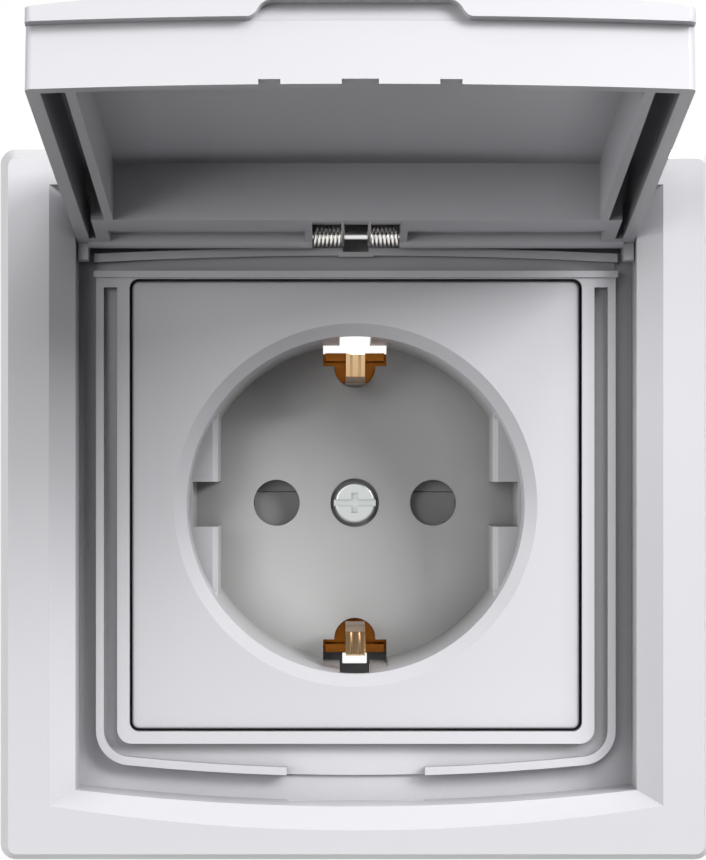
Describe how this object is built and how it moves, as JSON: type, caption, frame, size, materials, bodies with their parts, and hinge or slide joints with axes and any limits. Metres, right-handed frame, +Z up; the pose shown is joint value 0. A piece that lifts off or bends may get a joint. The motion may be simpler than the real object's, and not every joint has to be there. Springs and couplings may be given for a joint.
{
  "type": "weatherproof socket outlet",
  "caption": "Flush wall socket outlet for wet rooms and outdoors, with an earthed round recess, a square cover frame with a sealing rib and a sprung hinged lid, shown open.",
  "frame": {"origin": "middle of the fixing slots of the support ring, on the plane of the wall, which is also the middle of the square frame and of the round recess", "axes": "+X to the right as seen from the front, +Z up, -Y out of the wall towards the user; the hinge lies along X above the recess"},
  "size_m": [0.0834, 0.1034, 0.0918],
  "materials": {
    "white_plastic": "semi-gloss",
    "inner_plastic": "matte",
    "base_plastic": "matte",
    "seal_rubber": "matte",
    "brass": "satin",
    "zinc_steel": "zinc plated",
    "steel": "bright",
    "spring_steel": "bright wire"
  },
  "bodies": {
    "housing": {"cover_frame": "white_plastic", "hinge_axle": "steel", "lid_spring": "spring_steel", "centre_plate": "white_plastic", "centre_screw": "zinc_steel", "support_ring": "zinc_steel", "socket_base": "base_plastic", "ring_rivets": "zinc_steel", "line_contact": "brass", "neutral_contact": "brass", "earth_contact": "brass", "shutter_carrier": "inner_plastic", "shutter_spring": "spring_steel", "plate_seal": "seal_rubber", "wall_seal": "seal_rubber", "line_clamp": "zinc_steel", "line_clamp_screw": "zinc_steel", "neutral_clamp": "zinc_steel", "neutral_clamp_screw": "zinc_steel", "earth_clamp": "zinc_steel", "earth_clamp_screw": "zinc_steel"},
    "lid": {"lid": "white_plastic"},
    "shutter": {"shutter": "inner_plastic"}
  },
  "joints": [
    {"name": "lid_hinge", "type": "hinge", "parent": "housing", "child": "lid", "pos_m": [0, -0.0078, 0.03105], "axis": [1, 0, 0], "range_deg": [0, 99.5], "deforming": ["lid_spring"]},
    {"name": "shutter_slide", "type": "slide", "parent": "housing", "child": "shutter", "axis": [0, 0, 1], "range_m": [0, 0.0072], "stiffness_N_per_m": 30, "springref_m": -0.003, "deforming": ["shutter_spring"]}
  ]
}
